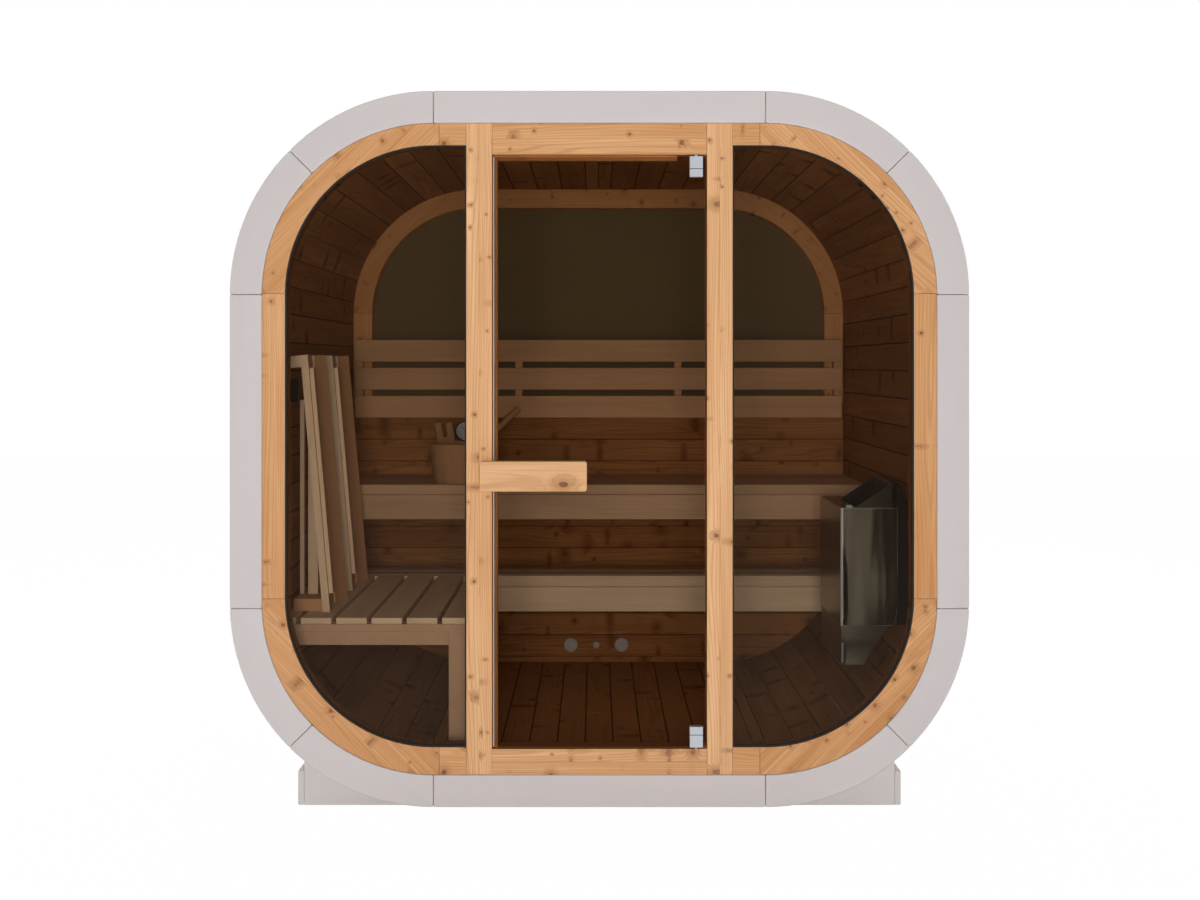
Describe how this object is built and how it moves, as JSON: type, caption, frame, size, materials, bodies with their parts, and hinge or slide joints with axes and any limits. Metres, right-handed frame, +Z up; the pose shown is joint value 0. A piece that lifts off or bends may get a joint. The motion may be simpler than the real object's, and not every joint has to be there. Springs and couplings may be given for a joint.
{
  "type": "cube sauna",
  "caption": "Square sauna cabin with round corners, a glazed front with a hinged glass door, slatted benches and a wall heater.",
  "frame": {"origin": "middle of the whole box at ground level, under the cradle boards", "axes": "+X to the right seen from the front, +Y from the door to the rear wall, +Z up"},
  "size_m": [2.07, 1.635, 2.017],
  "materials": {
    "painted_wood": "satin paint",
    "thermo_wood": "fine sanded",
    "pale_wood": "fine sanded",
    "handle_wood": "fine sanded",
    "tinted_glass": "polished",
    "dark_glass": "polished",
    "gasket": "matte",
    "hinge_metal": "satin",
    "steel": "polished",
    "black_metal": "satin",
    "plug_plastic": "matte",
    "dial_plastic": "matte"
  },
  "bodies": {
    "sauna": {"cradles": "painted_wood", "base_skirts": "painted_wood", "wall_left": "painted_wood", "wall_right": "painted_wood", "roof": "painted_wood", "floor": "painted_wood", "corner_staves_left": "painted_wood", "corner_staves_right": "painted_wood", "front_ring": "painted_wood", "rear_ring": "painted_wood", "front_frame_straights": "thermo_wood", "front_frame_corners": "thermo_wood", "door_post_left": "thermo_wood", "door_post_right": "thermo_wood", "door_header": "thermo_wood", "door_sill": "thermo_wood", "door_stops": "thermo_wood", "side_window_left": "tinted_glass", "side_window_right": "tinted_glass", "window_gaskets": "gasket", "rear_frame": "thermo_wood", "rear_window": "dark_glass", "rear_wall_boards": "thermo_wood", "vent_plugs": "plug_plastic", "upper_bench_slats": "pale_wood", "upper_bench_front": "pale_wood", "upper_bench_bearers": "pale_wood", "lower_bench_slats": "pale_wood", "lower_bench_front": "pale_wood", "lower_bench_bearers": "pale_wood", "backrest_slats": "pale_wood", "backrest_battens": "pale_wood", "side_bench_slats": "pale_wood", "side_bench_frame": "pale_wood", "heater_body": "steel", "heater_hopper": "black_metal", "heater_box": "steel", "heater_plate": "black_metal", "bucket": "pale_wood", "ladle": "pale_wood", "dial": "dial_plastic", "leaning_panel_front": "pale_wood", "leaning_panel_rear": "pale_wood"},
    "door": {"door_glass": "tinted_glass", "door_handle": "handle_wood", "door_hinge_top": "hinge_metal", "door_hinge_bottom": "hinge_metal"}
  },
  "joints": [
    {"name": "door_hinge", "type": "hinge", "parent": "sauna", "child": "door", "pos_m": [0.271, -0.7705, 0.172], "axis": [0, 0, 1], "range_deg": [0, 105]}
  ]
}
